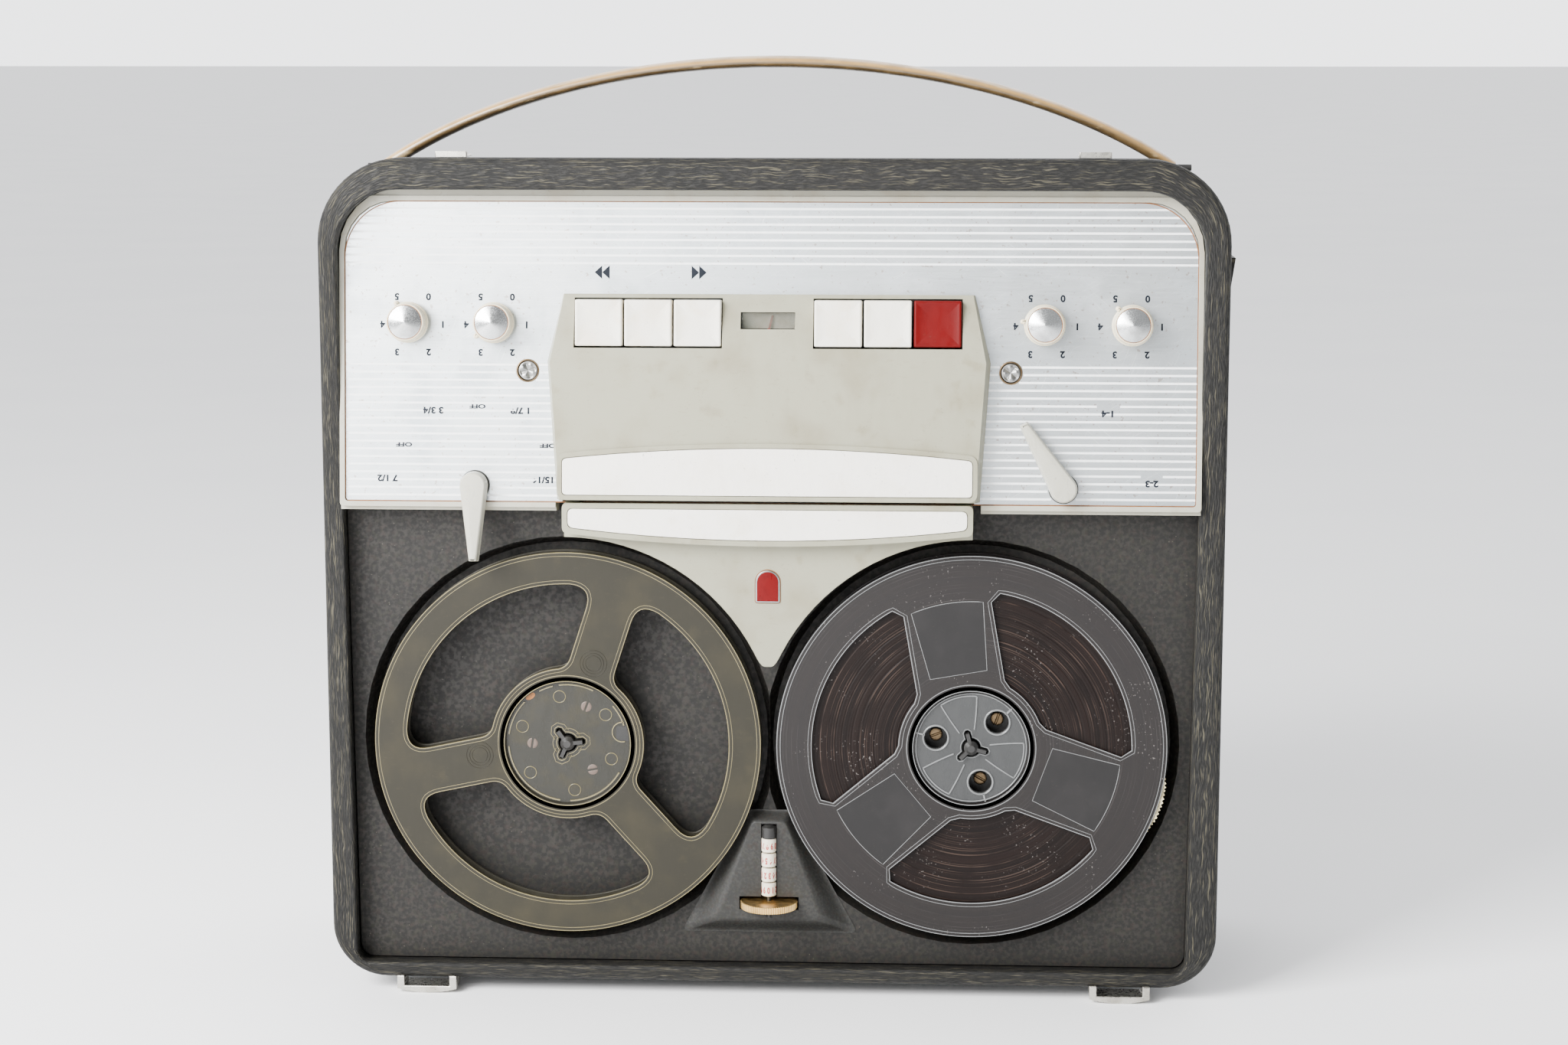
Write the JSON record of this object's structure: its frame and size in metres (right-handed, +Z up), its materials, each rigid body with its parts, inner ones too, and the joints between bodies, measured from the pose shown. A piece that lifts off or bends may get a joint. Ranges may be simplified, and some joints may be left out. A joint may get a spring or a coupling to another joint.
{
  "type": "reel-to-reel tape recorder",
  "caption": "Portable reel-to-reel tape recorder on its edge, lid off: rounded case with bowed handle, brushed panel with keys, knobs and levers, reels side by side, tape counter.",
  "frame": {"origin": "centre of the bottom of the box round the whole machine as it stands, at the height of the surface it stands on", "axes": "+Z up, -Y out of the deck towards the person who uses it, +X to the right seen from the front"},
  "size_m": [0.4128, 0.1704, 0.43],
  "materials": {
    "leathercloth": "dark grey leathercloth with a fine wavy grain",
    "speckled_paint": "dark grey-brown mottled paint",
    "housing_paint": "grey speckled paint",
    "cream": "cream moulded plastic, a little worn",
    "stone_plastic": "aged grey-cream moulded plastic",
    "white_enamel": "white, smooth",
    "ivory": "ivory, polished",
    "record_red": "deep red, polished",
    "brushed": "brushed, with fine white lines",
    "nickel": "dull nickel plate",
    "frosted": "frosted clear plastic, yellowed",
    "crystal": "clear polystyrene",
    "tape_brown": "brown coated tape",
    "strap_tan": "tan plastic over a metal strip",
    "rubber": "matt black",
    "steel": "turned and zinc plated",
    "brass": "knurled, a little dull",
    "drum_white": "white with printed digits",
    "dark_plastic": "black, satin",
    "needle_red": "red lacquer",
    "motor_grey": "grey lacquer",
    "speaker_grey": "pressed basket with a paper cone"
  },
  "bodies": {
    "case": {"case_shell": "leathercloth", "handle_cup_left": "dark_plastic", "handle_cup_right": "dark_plastic", "socket_panel": "dark_plastic", "back_panel": "dark_plastic", "back_foot_left": "rubber", "standing_stud_left": "rubber", "back_foot_right": "rubber", "standing_stud_right": "rubber", "loudspeaker": "speaker_grey", "hinge_loop_left": "nickel", "lid_catch_left": "nickel", "hinge_loop_right": "nickel", "lid_catch_right": "nickel", "deck_plate": "speckled_paint", "counter_housing": "housing_paint", "counter_axle": "steel", "control_bezel": "cream", "control_plate": "brushed", "panel_screw_left": "nickel", "panel_screw_right": "nickel", "head_cover": "stone_plastic", "head_insert_plate": "white_enamel", "meter_body": "steel", "meter_window": "crystal", "tongue_cover": "stone_plastic", "tongue_insert_plate": "white_enamel", "head_block": "steel", "motor": "motor_grey", "drive_belt": "rubber", "chassis_frame": "steel"},
    "handle": {"carry_handle": "strap_tan"},
    "flap": {"side_flap": "dark_plastic"},
    "left_spool": {"left_reel": "frosted", "left_turntable": "steel"},
    "right_spool": {"right_reel": "crystal", "right_turntable": "steel", "tape_pack": "tape_brown", "tape_outer_turn": "tape_brown"},
    "knob_1": {"knob_left_outer": "cream"},
    "knob_2": {"knob_left_inner": "cream"},
    "knob_3": {"knob_right_inner": "cream"},
    "knob_4": {"knob_right_outer": "cream"},
    "speed_lever": {"speed_lever": "cream"},
    "track_lever": {"track_lever": "cream"},
    "drum_1": {"counter_drum_1": "drum_white"},
    "drum_2": {"counter_drum_2": "drum_white"},
    "drum_3": {"counter_drum_3": "drum_white"},
    "drum_4": {"counter_drum_4": "drum_white"},
    "reset_wheel": {"reset_wheel": "brass"},
    "capstan": {"capstan_flywheel": "steel"},
    "pulley": {"motor_pulley": "brass"},
    "pinch": {"pinch_roller": "rubber"},
    "pointer": {"meter_pointer": "needle_red"},
    "key_1": {"key_1": "ivory"},
    "key_2": {"key_2": "ivory"},
    "key_3": {"key_3": "ivory"},
    "key_4": {"key_4": "ivory"},
    "key_5": {"key_5": "ivory"},
    "key_6": {"key_6": "record_red"}
  },
  "joints": [
    {"name": "handle_swing", "type": "hinge", "parent": "case", "child": "handle", "pos_m": [-0.00243, -0.02183, 0.3795], "axis": [1, 0, 0], "range_deg": [-20, 20]},
    {"name": "flap_swing", "type": "hinge", "parent": "case", "child": "flap", "pos_m": [0.19975, -0.03783, 0.2975], "axis": [0, 1, 0], "range_deg": [-8, 95]},
    {"name": "left_spool_turn", "type": "hinge", "parent": "case", "child": "left_spool", "pos_m": [-0.09633, -0.06883, 0.118], "axis": [0, 1, 0], "continuous": true},
    {"name": "right_spool_turn", "type": "hinge", "parent": "case", "child": "right_spool", "pos_m": [0.08867, -0.06883, 0.118], "axis": [0, 1, 0], "continuous": true},
    {"name": "knob_1_turn", "type": "hinge", "parent": "case", "child": "knob_1", "pos_m": [-0.16603, -0.06569, 0.3111], "axis": [0, -0.9951, 0.0993], "range_deg": [0, 300]},
    {"name": "knob_2_turn", "type": "hinge", "parent": "case", "child": "knob_2", "pos_m": [-0.12713, -0.06569, 0.3111], "axis": [0, -0.9951, 0.0993], "range_deg": [-98, 202]},
    {"name": "knob_3_turn", "type": "hinge", "parent": "case", "child": "knob_3", "pos_m": [0.11947, -0.06569, 0.3111], "axis": [0, -0.9951, 0.0993], "range_deg": [-51, 249]},
    {"name": "knob_4_turn", "type": "hinge", "parent": "case", "child": "knob_4", "pos_m": [0.15837, -0.06569, 0.3111], "axis": [0, -0.9951, 0.0993], "range_deg": [-11, 289]},
    {"name": "speed_lever_turn", "type": "hinge", "parent": "case", "child": "speed_lever", "pos_m": [-0.13633, -0.07295, 0.23836], "axis": [0, -0.9951, 0.0993], "range_deg": [-262, 0]},
    {"name": "track_lever_turn", "type": "hinge", "parent": "case", "child": "track_lever", "pos_m": [0.12867, -0.07295, 0.23836], "axis": [0, -0.9951, 0.0993], "range_deg": [-120, 0]},
    {"name": "key_1_press", "type": "slide", "parent": "case", "child": "key_1", "axis": [0, 0.9951, -0.0993], "range_m": [0, 0.005], "stiffness_N_per_m": 300, "springref_m": -0.002},
    {"name": "key_2_press", "type": "slide", "parent": "case", "child": "key_2", "axis": [0, 0.9951, -0.0993], "range_m": [0, 0.005], "stiffness_N_per_m": 300, "springref_m": -0.002},
    {"name": "key_3_press", "type": "slide", "parent": "case", "child": "key_3", "axis": [0, 0.9951, -0.0993], "range_m": [0, 0.005], "stiffness_N_per_m": 300, "springref_m": -0.002},
    {"name": "key_4_press", "type": "slide", "parent": "case", "child": "key_4", "axis": [0, 0.9951, -0.0993], "range_m": [0, 0.005], "stiffness_N_per_m": 300, "springref_m": -0.002},
    {"name": "key_5_press", "type": "slide", "parent": "case", "child": "key_5", "axis": [0, 0.9951, -0.0993], "range_m": [0, 0.005], "stiffness_N_per_m": 300, "springref_m": -0.002},
    {"name": "key_6_press", "type": "slide", "parent": "case", "child": "key_6", "axis": [0, 0.9951, -0.0993], "range_m": [0, 0.005], "stiffness_N_per_m": 300, "springref_m": -0.002},
    {"name": "drum_1_turn", "type": "hinge", "parent": "case", "child": "drum_1", "pos_m": [-0.00383, -0.06633, 0.047], "axis": [0, 0, 1], "continuous": true},
    {"name": "drum_2_turn", "type": "hinge", "parent": "case", "child": "drum_2", "pos_m": [-0.00383, -0.06633, 0.05395], "axis": [0, 0, 1], "continuous": true},
    {"name": "drum_3_turn", "type": "hinge", "parent": "case", "child": "drum_3", "pos_m": [-0.00383, -0.06633, 0.0609], "axis": [0, 0, 1], "continuous": true},
    {"name": "drum_4_turn", "type": "hinge", "parent": "case", "child": "drum_4", "pos_m": [-0.00383, -0.06633, 0.06785], "axis": [0, 0, 1], "continuous": true},
    {"name": "reset_wheel_turn", "type": "hinge", "parent": "case", "child": "reset_wheel", "pos_m": [-0.00383, -0.06633, 0.0412], "axis": [0, 0, 1], "continuous": true},
    {"name": "capstan_turn", "type": "hinge", "parent": "case", "child": "capstan", "pos_m": [0.02617, -0.04083, 0.2343], "axis": [0, 1, 0], "continuous": true},
    {"name": "pulley_turn", "type": "hinge", "parent": "case", "child": "pulley", "pos_m": [-0.06383, -0.04033, 0.272], "axis": [0, 1, 0], "continuous": true},
    {"name": "pinch_turn", "type": "hinge", "parent": "case", "child": "pinch", "pos_m": [0.02617, -0.06953, 0.2255], "axis": [0, 1, 0], "continuous": true},
    {"name": "pointer_swing", "type": "hinge", "parent": "case", "child": "pointer", "pos_m": [-0.00383, -0.06601, 0.30781], "axis": [0, -0.9951, 0.0993], "range_deg": [-35, 50], "stiffness_Nm_per_rad": 0.00005}
  ],
  "couplings": [
    {"joint": "pulley_turn", "follows": "capstan_turn", "ratio": 5},
    {"joint": "drum_1_turn", "follows": "right_spool_turn", "ratio": 0.5},
    {"joint": "drum_2_turn", "follows": "right_spool_turn", "ratio": 0.05},
    {"joint": "drum_3_turn", "follows": "right_spool_turn", "ratio": 0.005},
    {"joint": "drum_4_turn", "follows": "right_spool_turn", "ratio": 0.0005}
  ]
}
